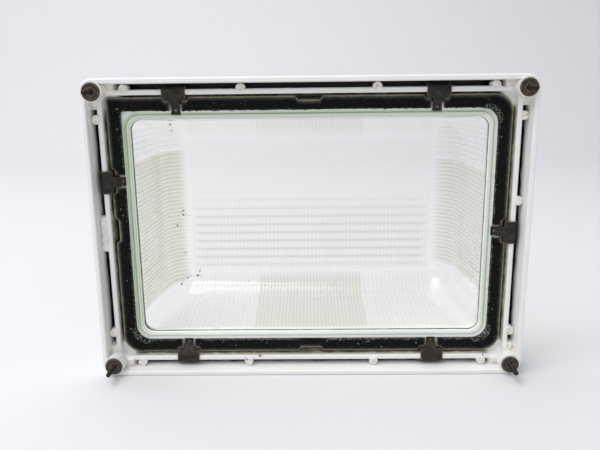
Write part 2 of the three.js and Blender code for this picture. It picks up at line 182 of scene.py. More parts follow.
# Door frame: a pressure die casting in aluminium with two parallel walls round a deep channel. It has
# a dark base coat and a satin white coat sprayed from behind, which does not reach the channel's floor.
half_width, half_height = 0.180, 0.126
rim_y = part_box("door_frame")[1][1] - 0.032
channel_start, channel_end = 0.0042, 0.0098

# Sprayed satin enamel: an even, slightly warm white with a fine 1.1 mm orange peel and pale yellowing in
# clouds of 36 mm. Its edge in the channel wanders by up to 3 mm, in patches of 11 mm.
white_coat = new_material("satin white spray coat on die-cast aluminium")
place = add_node(white_coat, "TexCoord").outputs["Object"]
axes = add_node(white_coat, "SeparateXYZ", Vector=place).outputs
across = add_node(white_coat, "Math", {"operation": "ABSOLUTE"}, Value=axes["X"])
raised = add_node(white_coat, "Math", {"operation": "SUBTRACT"}, Value=axes["Z"], Value_001=half_height)
up = add_node(white_coat, "Math", {"operation": "ABSOLUTE"}, Value=raised)
from_side = add_node(white_coat, "Math", {"operation": "SUBTRACT"}, Value=half_width, Value_001=across)
from_end = add_node(white_coat, "Math", {"operation": "SUBTRACT"}, Value=half_height, Value_001=up)
inset = add_node(white_coat, "Math", {"operation": "MINIMUM"}, Value=from_side,
                 Value_001=from_end)
past_wall = add_node(white_coat, "MapRange", eased, Value=inset,
                     From_Min=channel_start - 0.0004, From_Max=channel_start)
to_inner_wall = add_node(white_coat, "MapRange", eased, Value=inset,
                         From_Min=channel_end - 0.0003, From_Max=channel_end, To_Min=1, To_Max=0)
depth = add_node(white_coat, "Math", {"operation": "SUBTRACT"}, Value=axes["Y"], Value_001=rim_y)
drift = add_node(white_coat, "TexNoise", Vector=place, Scale=90.0, Detail=3.0)
drift_depth = add_node(white_coat, "MapRange", Value=drift, To_Min=-0.003, To_Max=0.003)
ragged = add_node(white_coat, "Math", {"operation": "ADD"}, Value=depth,
                  Value_001=drift_depth)
deep = add_node(white_coat, "MapRange", eased, Value=ragged,
                From_Min=0.0165, From_Max=0.0215)
behind_bezel = add_node(white_coat, "MapRange", Value=depth, From_Min=0.0288, From_Max=0.0292,
                        To_Min=1, To_Max=0)
bare = deep
for mask in (past_wall, to_inner_wall, behind_bezel):
    bare = add_node(white_coat, "Math", {"operation": "MULTIPLY"}, Value=bare, Value_001=mask)
stain_noise = add_node(white_coat, "TexNoise", Vector=place, Scale=28.0, Detail=5.0, Roughness=0.6)
coat = add_node(white_coat, "ValToRGB", stops=[(0.24, "#e9e6db"), (0.38, "#efefec"), (0.75, "#f4f4f3")],
                Fac=stain_noise)
# The ejector posts end in rough stubs soiled in 2.4 mm specks, the only faces at their depth that look out.
outward = add_node(white_coat, "SeparateXYZ",
                   Vector=add_node(white_coat, "NewGeometry").outputs["True Normal"]).outputs["Y"]
faces_rear = add_node(white_coat, "MapRange", Value=outward, From_Min=-0.8, From_Max=-0.97)
below_rim = add_node(white_coat, "MapRange", eased, Value=depth,
                     From_Min=0.0084, From_Max=0.0088)
above_floor = add_node(white_coat, "MapRange", eased, Value=depth,
                       From_Min=0.0100, From_Max=0.0104, To_Min=1, To_Max=0)
post_end = faces_rear
for mask in (below_rim, above_floor, past_wall):
    post_end = add_node(white_coat, "Math", {"operation": "MULTIPLY"}, Value=post_end, Value_001=mask)
grit = add_node(white_coat, "TexNoise", Vector=place, Scale=420.0, Detail=5.0, Roughness=0.7)
soiled = add_node(white_coat, "ValToRGB", stops=[
    (0.30, "#9c8b72"), (0.42, "#dad1c1"), (0.55, "#efebe3"), (0.80, "#f5f3ee")], Fac=grit)
coat = add_node(white_coat, "Mix", {"data_type": "RGBA"}, Factor_Float=post_end, A_Color=coat,
                B_Color=soiled).outputs[2]
# Painted shade: the inner wall's inner face is painted olive, darker in the deeper part, away from the
# corners.
past_inner = add_node(white_coat, "MapRange", eased, Value=inset,
                      From_Min=0.01325, From_Max=0.0137)
shade_depth = add_node(white_coat, "MapRange", eased, Value=ragged,
                       From_Min=0.0105, From_Max=0.0150)
far_inset = add_node(white_coat, "Math", {"operation": "MAXIMUM"}, Value=from_side,
                     Value_001=from_end)
off_corner = add_node(white_coat, "MapRange", eased, Value=far_inset,
                      From_Min=0.0225, From_Max=0.0275)
# olive is the mask of this painted shade.
olive = past_inner
for mask in (shade_depth, off_corner, behind_bezel):
    olive = add_node(white_coat, "Math", {"operation": "MULTIPLY"}, Value=olive, Value_001=mask)
painted_shade_colour = add_node(white_coat, "ValToRGB", stops=[(0.35, "#5d563c"), (0.50, "#8c8566"), (0.66, "#cfcbb4")],
                   Fac=drift)
coat = add_node(white_coat, "Mix", {"data_type": "RGBA"}, Factor_Float=olive, A_Color=coat,
                B_Color=painted_shade_colour).outputs[2]
coat = add_node(white_coat, "Mix", {"data_type": "RGBA"}, Factor_Float=bare, A_Color=coat,
                B_Color=linear("#100f0f")).outputs[2]
peel = add_node(white_coat, "TexNoise", Vector=place, Scale=900.0, Detail=2.0)
peel = add_node(white_coat, "Mix", {"data_type": "FLOAT"}, Factor_Float=post_end, A_Float=peel,
                B_Float=grit)
peel_bump = add_node(white_coat, "Bump", Height=peel, Strength=0.2, Distance=0.0004)
gloss = add_node(white_coat, "MapRange", Value=stain_noise, To_Min=0.34, To_Max=0.55)
coat_shader = add_node(white_coat, "BsdfPrincipled", Base_Color=coat, Roughness=gloss, Normal=peel_bump)
add_node(white_coat, "OutputMaterial", Surface=coat_shader)
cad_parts["door_frame"].data.materials.clear()
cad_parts["door_frame"].data.materials.append(white_coat)

# One ejector post on the left kept a rough lump of cast metal that was sprayed over with the rest.
lump_along, lump_across = np.linspace(0.1085, 0.1395, 56), np.linspace(0, 1, 15)
lump_random = np.random.default_rng(5)
coarse = lump_random.normal(0, 1, (15, 6))
bumps = np.stack([np.interp(np.linspace(0, 14, 56), np.arange(15), column) for column in coarse.T], 1)
bumps = np.stack([np.interp(np.linspace(0, 5, 15), np.arange(6), row) for row in bumps])
fine_bumps = lump_random.normal(0, 1, bumps.shape)
end_fall = np.clip(np.minimum(lump_along - lump_along[0], lump_along[-1] - lump_along) / 0.004, 0, 1)
side_fall = np.clip(np.sin(np.pi * lump_across), 0, 1) ** 0.4
lump_depth = 0.0135 - 0.0046 * np.sqrt(end_fall)[:, None] * side_fall[None, :]
lump_depth = lump_depth - 0.0007 * bumps - 0.00016 * fine_bumps
lump_inset = 0.0040 + 0.0062 * lump_across
lump_top = np.stack(np.broadcast_arrays(lump_inset[None, :] - half_width, rim_y + lump_depth,
                                        lump_along[:, None]), -1)
lump_base = lump_top * (1, 0, 1) + (0, rim_y + 0.019, 0)
lump_loops = np.concatenate([lump_top, lump_base[:, ::-1]], 1)
lump_ends = [np.broadcast_to(lump_loops[end].mean(0), lump_loops[:1].shape) for end in (0, -1)]
lump_loops = np.concatenate([lump_ends[0], lump_loops, lump_ends[1]])
lump = mesh_object("casting_lump_left", lump_loops.reshape(-1, 3),
                   grid_faces(*lump_loops.shape[:2], wrap=True), white_coat)
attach(lump, "cover")


# Glass refractor: soda-lime glass pressed in one shot, a drafted bowl with a flange round its mouth.
# The plunger leaves level flutes on the side walls inside, and the mould upright ones outside.
flange_inset, flange_rear, flange_front, flange_corner = 0.01551, 0.019, 0.025, 0.018
mouth_inset, mouth_corner, mouth_round = 0.03351, 0.009, 0.0025
wall, draft, inner_floor = 0.005, radians(5), 0.111
fillet, floor_corner = 0.022, 0.024


def ring_points(inset, radius, depth, across_stations, up_stations, arc_steps=8):
    """Points round rounded rectangles, one row for each entry of the arrays inset, radius and depth.
    On each side they stand at the given stations, held within its straight part, and each corner is
    a quarter circle. Radius has four columns where the corners differ. Counter-clockwise as seen
    from the rear, from the foot of the right side. Returns places, outward directions and whether a
    point is on an upright side (1), a level side (2) or a corner (0)."""
    inset, depth = (np.atleast_1d(np.asarray(v, float)) for v in (inset, depth))
    radius = np.broadcast_to(np.asarray(radius, float).reshape(-1, 1) if np.ndim(radius) < 2 else radius,
                             (len(inset), 4))
    right, top = (half_width - inset)[:, None], (half_height - inset)[:, None]
    turn = np.linspace(0, np.pi / 2, arc_steps + 1)[1:-1]
    rows, ways, kinds = [], [], []
    for quarter, (sign_x, sign_z) in enumerate(((1, 1), (-1, 1), (-1, -1), (1, -1))):
        corner, before = radius[:, [quarter]], radius[:, [quarter - 1]]
        upright = quarter % 2 == 0
        stations, reach = (up_stations, top) if upright else (across_stations, right)
        toward = sign_z if upright else sign_x
        held = toward * np.clip(stations, before - reach, reach - corner)
        beside = np.broadcast_to(sign_x * right if upright else sign_z * top, held.shape)
        side = np.stack([beside, held] if upright else [held, beside], -1)
        centre = np.stack([sign_x * (right - corner), sign_z * (top - corner)], -1)
        angle = quarter * np.pi / 2 + turn
        out = np.stack([np.cos(angle), np.sin(angle)], -1)
        rows += [side, centre + corner[..., None] * out]
        ways += [np.tile((sign_x, 0) if upright else (0, sign_z), (len(stations), 1)), out]
        kinds += [np.full(len(stations), 1 if upright else 2), np.zeros(len(angle))]
    flat, way = np.concatenate(rows, 1), np.concatenate(ways)
    places = np.empty((*flat.shape[:2], 3))
    places[..., 0], places[..., 2] = flat[..., 0], flat[..., 1] + half_height
    places[..., 1] = rim_y + depth[:, None]
    return places, way, np.concatenate(kinds)


def bowl_profile(inset, corner, floor_radius, rounding, start, floor, wall_steps=14, round_steps=12):
    """The bowl's side from its mouth to its floor's edge: a straight drafted wall, then a quarter-round
    fillet. Returns inset, corner radius, depth and the angle by which the surface faces the depth axis."""
    turn = np.linspace(draft, np.pi / 2, round_steps + 1)
    wall_end = floor - rounding * (1 - np.sin(draft))
    depth = np.linspace(start, wall_end, wall_steps, endpoint=False)
    wall_inset = inset + np.tan(draft) * (depth - start)
    foot = inset + np.tan(draft) * (wall_end - start)
    shrink = rounding * (np.cos(draft) - np.cos(turn))
    along = (depth - start) / (wall_end - start)
    corners = corner + (floor_radius - corner) * along
    turned_corners = floor_radius * (1 - shrink / shrink[-1])
    return (np.concatenate([wall_inset, foot + shrink]), np.concatenate([corners, turned_corners]),
            np.concatenate([depth, floor - rounding * (1 - np.sin(turn))]),
            np.concatenate([np.full(wall_steps, draft), turn]))


def flute(place, pitch):
    """Height of round flutes side by side, from 0 in the valleys to 1 on the crests: the root of one
    minus the square of the distance from the crest, which is 1 at a valley."""
    from_crest = 2 * np.mod(place / pitch, 1) - 1
    return np.sqrt(np.clip(1 - 0.96 * from_crest ** 2, 0, 1)) - 0.2


def fade(distance, width):
    """Rises smoothly from 0 at no distance to 1 at the given width."""
    part = np.clip(distance / width, 0, 1)
    return part * part * (3 - 2 * part)


def zip_rings(first, second, first_start, second_start):
    """Triangles between two closed rings with different numbers of points. Both run the same way from
    the same place, and each triangle adds whichever ring's next point comes first along them."""
    shares = []
    for ring in (first, second):
        steps = np.linalg.norm(np.diff(ring, axis=0, append=ring[:1]), axis=1)
        shares.append(np.cumsum(steps) / steps.sum())
    order = np.argsort(np.concatenate(shares), kind="stable")
    on_first = order < len(first)
    a = np.concatenate([[0], np.cumsum(on_first)])
    b = np.concatenate([[0], np.cumsum(~on_first)])
    new = np.where(on_first, a[1:] % len(first) + first_start, b[1:] % len(second) + second_start)
    return np.stack([a[:-1] % len(first) + first_start, new, b[:-1] % len(second) + second_start], -1)


past_rim = 30.0  # stands for every point that is not on the flange, clear of the painted rings
flute_height, wide_pitch, close_pitch, band_pitch = 0.00022, 0.0048, 0.0038, 0.0083
middle_half, middle_pitch, outer_pitch = 0.052, 0.0033, 0.0042
fine_up = np.linspace(-0.0935, 0.0935, 312)
coarse_across = np.linspace(-0.1465, 0.1465, 40)
fine_across = np.linspace(-0.1395, 0.1395, 508)
coarse_up = np.linspace(-0.0935, 0.0935, 18)

inner = bowl_profile(mouth_inset, mouth_corner, floor_corner, fillet, flange_rear, inner_floor)
lip = np.linspace(0, np.pi / 2, 6)
rim_inset = np.concatenate([
    [flange_inset + 0.0008, flange_inset + 0.0120, flange_inset + 0.0126, flange_inset + 0.0134,
     flange_inset + 0.0140], mouth_inset - mouth_round * (1 - np.sin(lip))])
rim_depth = np.concatenate([
    [flange_rear, flange_rear, flange_rear + 0.0005, flange_rear + 0.0005, flange_rear],
    flange_rear + mouth_round * (1 - np.cos(lip))])
rim_corner = np.clip(flange_corner - (rim_inset - flange_inset) * 0.5, mouth_corner, None)
below_lip = inner[2] > flange_rear + mouth_round + 1e-6
inner_inset = np.concatenate([[flange_inset], rim_inset, inner[0][below_lip]])
inner_corner = np.concatenate([[flange_corner], rim_corner, inner[1][below_lip]])
inner_depth = np.concatenate([[flange_rear + 0.0008], rim_depth, inner[2][below_lip]])
inner_turn = np.concatenate([np.zeros(1 + len(rim_inset)), inner[3][below_lip]])
on_bowl = np.concatenate([np.zeros(1 + len(rim_inset)), np.ones(below_lip.sum())])

places, way, kind = ring_points(inner_inset, inner_corner, inner_depth, coarse_across, fine_up, 44)
level = places[..., 2] - half_height
left_side = places[..., 0] < 0
close_foot, close_top = np.where(left_side, -0.076, -0.058), np.where(left_side, 0.0575, 0.047)
dense = fade(level - close_foot, 0.002) * fade(close_top - level, 0.002)
sparse = fade(level - close_top - 0.0005, 0.002) * fade(0.0880 - level, 0.003)
height = dense * flute(level, close_pitch) + sparse * flute(level, wide_pitch)
to_side = fade(np.abs(way[:, 0]) - 0.35, 0.35)
height *= to_side
height *= on_bowl[:, None] * fade(inner_depth - flange_rear - mouth_round, 0.004)[:, None]
height *= fade(np.pi / 2 - inner_turn, radians(18))[:, None]
facing = np.stack([np.cos(inner_turn)[:, None] * way[None, :, 0],
                   np.broadcast_to(np.sin(inner_turn)[:, None], level.shape),
                   np.cos(inner_turn)[:, None] * way[None, :, 1]], -1)
inner_points = places - flute_height * height[..., None] * facing
# Painted shade in the flutes, from -1 for cool grey to 1 for olive, and the inset across the flange in mm.
on_side = to_side * on_bowl[:, None]
on_side = on_side * fade(np.pi / 2 - inner_turn, radians(30))[:, None]
close_flute_shade = np.where(left_side, 0.76, 0.58) + 0.85 * (0.45 - flute(level, close_pitch))
wide_flute_shade = 0.22 + 1.15 * (0.45 - flute(level, wide_pitch))
inner_flute_shade = on_side * (dense * close_flute_shade + sparse * wide_flute_shade)
inner_rim = np.where(on_bowl > 0, past_rim, (inner_inset - flange_inset) * 1000)[:, None] + 0 * level


def floor_grid(inset, depth, across_stations, up_stations):
    """Flat rectangle of the bowl's floor, on the same stations as the ring round it."""
    x = np.clip(across_stations, -(half_width - inset), half_width - inset)
    z = np.clip(up_stations, -(half_height - inset), half_height - inset)
    grid = np.empty((len(z), len(x), 3))
    grid[..., 0], grid[..., 1], grid[..., 2] = x[None, :], rim_y + depth, z[:, None] + half_height
    return grid


inner_flat = floor_grid(inner_inset[-1], inner_depth[-1], coarse_across, fine_up)
edge = np.minimum(half_width - inner_inset[-1] - np.abs(inner_flat[..., 0]),
                  half_height - inner_inset[-1] - np.abs(inner_flat[..., 2] - half_height))
floor_band = fade(0.150 - inner_flat[..., 2], 0.045) * fade(inner_flat[..., 2] - 0.060, 0.010)
bands, off_edge = flute(inner_flat[..., 2], band_pitch), fade(edge, 0.006)
inner_flat[..., 1] -= 0.0006 * off_edge * (0.15 + 0.85 * floor_band) * bands
# Painted shade in level bands on the floor inside.
flat_flute_shade = -off_edge * floor_band * (0.26 + 0.80 * (0.45 - bands))

outer = bowl_profile(mouth_inset - wall, mouth_corner + wall, floor_corner + wall, fillet + wall,
                     flange_front - 0.0025, inner_floor + wall)
clear = outer[2] > flange_front + 0.0015
outer_inset = np.concatenate([[flange_inset, flange_inset + 0.0008, mouth_inset - wall - 0.0016],
                              outer[0][clear]])
outer_corner = np.concatenate([[flange_corner, flange_corner - 0.0008, mouth_corner + wall + 0.0016],
                               outer[1][clear]])
outer_depth = np.concatenate([[flange_front - 0.0008, flange_front, flange_front], outer[2][clear]])
outer_turn = np.concatenate([[0, 0, 0], outer[3][clear]])
places, way, kind = ring_points(outer_inset, outer_corner, outer_depth, fine_across, coarse_up)
side = places[..., 0]
held = (half_width - outer_inset - outer_corner)[:, None]
middle = fade(middle_half - np.abs(side), 0.001)
middle_flutes, outer_flutes = flute(side, middle_pitch), flute(side, outer_pitch)
on_level = (kind == 2) * fade(held - np.abs(side), 0.002)
on_level = on_level * fade(outer_depth - flange_front - 0.004, 0.004)[:, None]
height = (middle * middle_flutes + (1 - middle) * outer_flutes * 0.8) * on_level
height *= fade(np.pi / 2 - outer_turn, radians(14))[:, None] * 0.8 + 0.2
facing = np.stack([np.cos(outer_turn)[:, None] * way[None, :, 0],
                   np.broadcast_to(np.sin(outer_turn)[:, None], side.shape),
                   np.cos(outer_turn)[:, None] * way[None, :, 1]], -1)
to_floor = fade(np.pi / 2 - outer_turn, radians(8))[:, None]
outer_points = places + flute_height * 0.8 * (height[..., None] - 1) * facing * (
    (kind == 2) * (outer_depth > flange_front)[:, None] * to_floor)[..., None]
on_level = on_level * fade(np.pi / 2 - outer_turn, radians(30))[:, None]
is_lower = places[..., 2] < half_height
outer_flute_shade = on_level * (middle * (0.58 + 0.75 * (0.45 - middle_flutes))
                         + (1 - middle) * (0.16 + 0.75 * (0.45 - outer_flutes)))
# The flute shade is painted twice as strong on the lower half as on the upper.
outer_flute_shade *= np.where(is_lower, 1.0, 0.5)
outer_flat = floor_grid(outer_inset[-1], outer_depth[-1], fine_across, coarse_up)
# Painted shade across the outer floor in upright stripes, stronger towards the bottom.
cross_band = fade(0.150 - outer_flat[..., 2], 0.05)
outer_flat_flute_shade = -(0.36 + 0.50 * cross_band) * (0.50 - flute(outer_flat[..., 0], close_pitch))

glass_sheets = (inner_points, inner_flat, outer_points, outer_flat)
counts = [points.shape[0] * points.shape[1] for points in glass_sheets]
starts = np.concatenate([[0], np.cumsum(counts)])
glass_faces = [
    grid_faces(*inner_points.shape[:2], wrap=True) + starts[0],
    grid_faces(*inner_flat.shape[:2]) + starts[1],
    grid_faces(*outer_points.shape[:2], wrap=True)[:, ::-1] + starts[2],
    grid_faces(*outer_flat.shape[:2])[:, ::-1] + starts[3],
    zip_rings(inner_points[0], outer_points[0], starts[0], starts[2])[:, ::-1],
]
glass_points = np.concatenate([points.reshape(-1, 3) for points in glass_sheets])
glass_flute_shade = np.concatenate([film.ravel() for film in (inner_flute_shade, flat_flute_shade, outer_flute_shade, outer_flat_flute_shade)])
glass_rim = np.concatenate([inner_rim.ravel(), np.full(sum(counts[1:]), past_rim)])
# Painted light: how brightly the flange's painted glow shows, 0.5 along the top, less up the left side, more
# on the right and the foot.
aside, upward = glass_points[:, 0] / half_width, glass_points[:, 2] / half_height - 1
glass_painted_glow = 0.5 + 0.40 * fade(-upward - 0.66, 0.14)
glass_painted_glow = glass_painted_glow + 0.16 * fade(np.abs(aside) - 0.76, 0.08) * np.sign(aside)

# Pressed soda-lime glass: clear and fire-polished, faintly green where the light runs far through it.
# Painted shade lies in the flutes. The flange is painted with a green glow in rings up to the mouth, for the
# light it carries through its whole width, and painted shade blackens it outside the felt. The surface waves
# slowly over 17 mm, and the rings over 8 mm.
pressed_glass = new_material("pressed soda-lime glass")
glass_place = add_node(pressed_glass, "TexCoord").outputs["Object"]
waves = add_node(pressed_glass, "TexNoise", Vector=glass_place, Scale=60.0, Detail=2.0)
wavy = add_node(pressed_glass, "Bump", Height=waves, Strength=0.15, Distance=0.001)
film = add_node(pressed_glass, "Attribute", {"attribute_name": "dust_film"}).outputs["Fac"]
flute_shade_share = add_node(pressed_glass, "MapRange", Value=film, From_Min=-1.0, From_Max=1.0)
flute_shade_colour = add_node(pressed_glass, "ValToRGB", stops=[
    (0.0, "#a9aaba"), (0.5, "#fdfdfc"), (1.0, "#b3ad83")], Fac=flute_shade_share)
clear_glass = add_node(pressed_glass, "BsdfPrincipled", Base_Color=flute_shade_colour, Roughness=0.035,
                       IOR=1.51, Transmission_Weight=1.0, Normal=wavy)
see_through = add_node(pressed_glass, "BsdfTransparent", Color=linear("#f9fbf8"))
for_lamps = add_node(pressed_glass, "LightPath").outputs["Is Shadow Ray"]
glass_mix = add_node(pressed_glass, "MixShader", Fac=for_lamps, Shader=clear_glass,
                     Shader_001=see_through)
rim_place = add_node(pressed_glass, "Attribute", {"attribute_name": "across_flange"}).outputs["Fac"]
rim_waver = add_node(pressed_glass, "TexNoise", Vector=glass_place, Scale=120.0, Detail=2.0)
rim_waver = add_node(pressed_glass, "MapRange", Value=rim_waver, To_Min=-0.2, To_Max=0.2)
rim_place = add_node(pressed_glass, "Math", {"operation": "ADD"}, Value=rim_place, Value_001=rim_waver)
rim_share = add_node(pressed_glass, "MapRange", Value=rim_place, From_Min=0.0, From_Max=20.0)
# Painted light and shade across the flange: nearly black outside the felt, then pale green rings of painted
# glow, with a dark line at the mouth.
rim_painted_shading = add_node(pressed_glass, "ValToRGB", stops=[
    (0.0, "#17120e"), (0.28, "#1c1814"), (0.34, "#e8efe5"), (0.57, "#f6faf6"), (0.60, "#dbe6cf"),
    (0.68, "#d8e4cb"), (0.70, "#8fa988"), (0.725, "#dce7d1"), (0.80, "#e6eedd"), (0.82, "#adc2a5"),
    (0.84, "#ecf3e7"), (0.875, "#f1f6ee"), (0.893, "#333c47")], Fac=rim_share)
glow = add_node(pressed_glass, "Attribute", {"attribute_name": "rim_glow"}).outputs["Fac"]
rim_painted_shading = add_node(pressed_glass, "Mix", {"data_type": "RGBA", "blend_type": "OVERLAY"},
                      Factor_Float=1.0, A_Color=rim_painted_shading, B_Color=glow).outputs[2]
rim_body = add_node(pressed_glass, "BsdfPrincipled", Base_Color=rim_painted_shading, Roughness=0.15, IOR=1.51)
on_rim = add_node(pressed_glass, "MapRange", Value=rim_place, From_Min=18.7, From_Max=20.0, To_Min=0.92,
                  To_Max=0.0)
rim_mix = add_node(pressed_glass, "MixShader", Fac=on_rim, Shader=glass_mix,
                   Shader_001=rim_body)
green = add_node(pressed_glass, "VolumeAbsorption", Color=linear("#c6dfae"), Density=4.0)
add_node(pressed_glass, "OutputMaterial", Surface=rim_mix, Volume=green)

glass = mesh_object("pressed_glass_bowl", glass_points, glass_faces, pressed_glass,
                    dust_film=glass_flute_shade, across_flange=glass_rim, rim_glow=glass_painted_glow)
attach(glass, "cover")
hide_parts("glass_refractor")


# Felt strips: black needled felt, die-cut, laid on the flange as a ring and cut through at each clip.
# The die squeezes the cut edges, so they slope; a painted highlight, tan and then grey, lightens them.
def wall_points(wall, at, inset, along, depth):
    """Points near one wall of the frame: at is the middle's place on the wall, and the arrays inset,
    along and depth run inwards from the cover's outer face, along the wall and in from the rim."""
    inward, forward, foot = {
        "bottom": ((0, 1), (1, 0), (at, 0)),
        "top": ((0, -1), (-1, 0), (at, 2 * half_height)),
        "left": ((1, 0), (0, -1), (-half_width, at)),
        "right": ((-1, 0), (0, 1), (half_width, at)),
    }[wall]
    inset, along, depth = np.broadcast_arrays(inset, along, depth)
    return np.stack([foot[0] + inward[0] * inset + forward[0] * along, rim_y + depth,
                     foot[1] + inward[1] * inset + forward[1] * along], -1)


clip_walls = {"clip_top_left": "top", "clip_top_right": "top", "clip_left": "left",
              "clip_right": "right", "clip_bottom_left": "bottom", "clip_bottom_right": "bottom"}
clip_places = {}
for clip_name, wall_name in clip_walls.items():
    low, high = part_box(clip_name)
    axis = 0 if wall_name in ("top", "bottom") else 2
    clip_places[clip_name] = (low[axis] + high[axis]) / 2

felt_inset, felt_width, felt_rear, felt_front = 0.01515, 0.0114, 0.0153, 0.0187
notch_mouth, notch_floor, notch_depth, slot_half = 0.0113, 0.00895, 0.0032, 0.0045
marks = np.array([-notch_mouth, -notch_floor, -slot_half, slot_half, notch_floor, notch_mouth])
level_places = [clip_places[name] for name in clip_places if clip_walls[name] in ("top", "bottom")] + [0.0]
upright_places = [clip_places["clip_left"] - half_height, clip_places["clip_right"] - half_height, 0.0]
across_stations = np.unique(np.round(np.concatenate(
    [np.arange(-0.165, 0.1651, 0.0011)] + [marks + middle for middle in level_places]), 6))
up_stations = np.unique(np.round(np.concatenate(
    [np.arange(-0.111, 0.1111, 0.0011)] + [marks + middle for middle in upright_places]), 6))
felt_outside, felt_way, felt_kind = ring_points([felt_inset], np.array([[0.015, 0.003, 0.015, 0.015]]),
                                                [0.0], across_stations, up_stations, 18)
felt_inside = ring_points([felt_inset + felt_width], np.array([[0.013, 0.001, 0.013, 0.013]]),
                          [0.0], across_stations, up_stations, 18)[0]
felt_outside, felt_inside = felt_outside[0], felt_inside[0]
in_slot = np.zeros(len(felt_outside), bool)
beside_slot = np.full(len(felt_outside), 1.0)
notch_share = np.zeros(len(felt_outside))
notches = [(clip_walls[name], at) for name, at in clip_places.items()]
for wall_name, at in notches + [("top", 0.0), ("bottom", 0.0), ("left", half_height)]:
    level_wall = wall_name in ("top", "bottom")
    direction = {"top": (0, 1), "bottom": (0, -1), "left": (-1, 0), "right": (1, 0)}[wall_name]
    on_wall = (felt_way @ direction > 0.999) & (felt_kind > 0)
    off = np.abs((felt_outside[:, 0] if level_wall else felt_outside[:, 2]) - at)
    share = np.clip((notch_mouth - off) / (notch_mouth - notch_floor), 0, 1)
    notch_share = np.where(on_wall, np.maximum(notch_share, share), notch_share)
    if (wall_name, at) in notches:
        in_slot |= on_wall & (off < slot_half - 1e-5)
        beside_slot = np.where(on_wall, np.minimum(beside_slot, off - slot_half), beside_slot)
felt_outside = felt_outside - notch_depth * notch_share[:, None] * np.stack(
    [felt_way[:, 0], np.zeros(len(felt_way)), felt_way[:, 1]], -1)

# The strip's section, from its outer foot over the sloped edge and the pile to its inner foot:
# the share of the width, and the height above the flange as a share of the thickness.
section_across, section_height = np.array([
    (0, 0), (0, 0.5), (0.04, 0.62), (0.09, 0.66), (0.14, 0.72), (0.19, 0.86), (0.25, 0.97), (0.36, 1),
    (0.5, 1), (0.62, 1), (0.74, 1), (0.84, 0.98), (0.92, 0.93), (0.97, 0.8), (1, 0.45), (1, 0)]).T
felt_random = np.random.default_rng(11)

# Needled felt: matt and nearly black, with pale lint in 3 mm cells and tufts of 4 mm.
black_felt = new_material("needled black felt with painted edge highlight")
felt_place = add_node(black_felt, "TexCoord").outputs["Object"]
# The needled grain is about 0.3 mm; it is drawn at 1.4 mm, so that it shows at arm's length.
fibres = add_node(black_felt, "TexNoise", Vector=felt_place, Scale=700.0, Detail=4.0, Roughness=0.8)
tufts = add_node(black_felt, "TexNoise", Vector=felt_place, Scale=260.0, Detail=3.0)
lint_cell = add_node(black_felt, "TexVoronoi", {"feature": "F1"}, Vector=felt_place, Scale=330.0)
lint_dot = add_node(black_felt, "MapRange", Value=lint_cell, From_Min=0.26, From_Max=0.12)
lint_few = add_node(black_felt, "TexWhiteNoise", Vector=lint_cell.outputs["Position"]).outputs["Value"]
lint_few = add_node(black_felt, "MapRange", Value=lint_few, From_Min=0.84, From_Max=0.98)
lint = add_node(black_felt, "Math", {"operation": "MULTIPLY"}, Value=lint_dot,
                Value_001=lint_few)
pile = add_node(black_felt, "ValToRGB", stops=[
    (0.40, "#030303"), (0.54, "#0c0c0d"), (0.66, "#2a2a2c"), (0.76, "#5c5c5e")], Fac=fibres)
pile = add_node(black_felt, "Mix", {"data_type": "RGBA"}, Factor_Float=lint, A_Color=pile,
                B_Color=linear("#9a9890")).outputs[2]
edge_distance = add_node(black_felt, "Attribute", {"attribute_name": "from_cut_edge"}).outputs["Fac"]
edge_drift = add_node(black_felt, "MapRange", Value=tufts, To_Min=-0.7, To_Max=0.7)
edge_ragged = add_node(black_felt, "Math", {"operation": "ADD"}, Value=edge_distance, Value_001=edge_drift)
edge_share = add_node(black_felt, "MapRange", Value=edge_ragged, From_Min=0.0, From_Max=4.0)
# Painted highlight along the cut edges: tan at the edge, then grey, fading into the black pile.
felt_edge_highlight = add_node(black_felt, "ValToRGB", stops=[
    (0.0, "#8d846a"), (0.20, "#a8a088"), (0.28, "#6f6d62"), (0.50, "#434342"), (0.85, "#212122")],
    Fac=edge_share)
# Loose grey fibres fringe the inner edge, over the glass.
fringe = add_node(black_felt, "MapRange", Value=edge_distance, From_Min=10.3, From_Max=11.3)
fringe_hair = add_node(black_felt, "MapRange", Value=fibres, From_Min=0.50, From_Max=0.60)
fringe = add_node(black_felt, "Math", {"operation": "MULTIPLY"}, Value=fringe, Value_001=fringe_hair)
pile = add_node(black_felt, "Mix", {"data_type": "RGBA"}, Factor_Float=fringe, A_Color=pile,
                B_Color=linear("#8f968d")).outputs[2]
at_edge = add_node(black_felt, "MapRange", eased, Value=edge_ragged,
                   From_Min=3.0, From_Max=4.0, To_Min=1.0, To_Max=0.0)
felt_colour = add_node(black_felt, "Mix", {"data_type": "RGBA"}, Factor_Float=at_edge, A_Color=pile,
                       B_Color=felt_edge_highlight).outputs[2]
felt_height = add_node(black_felt, "Math", {"operation": "ADD"}, Value=fibres, Value_001=tufts)
felt_bump = add_node(black_felt, "Bump", Height=felt_height, Strength=0.9, Distance=0.0006)
felt_shader = add_node(black_felt, "BsdfPrincipled", Base_Color=felt_colour, Roughness=0.95,
                       Sheen_Weight=0.04, Sheen_Roughness=0.5, Specular_IOR_Level=0.2, Normal=felt_bump)
add_node(black_felt, "OutputMaterial", Surface=felt_shader)

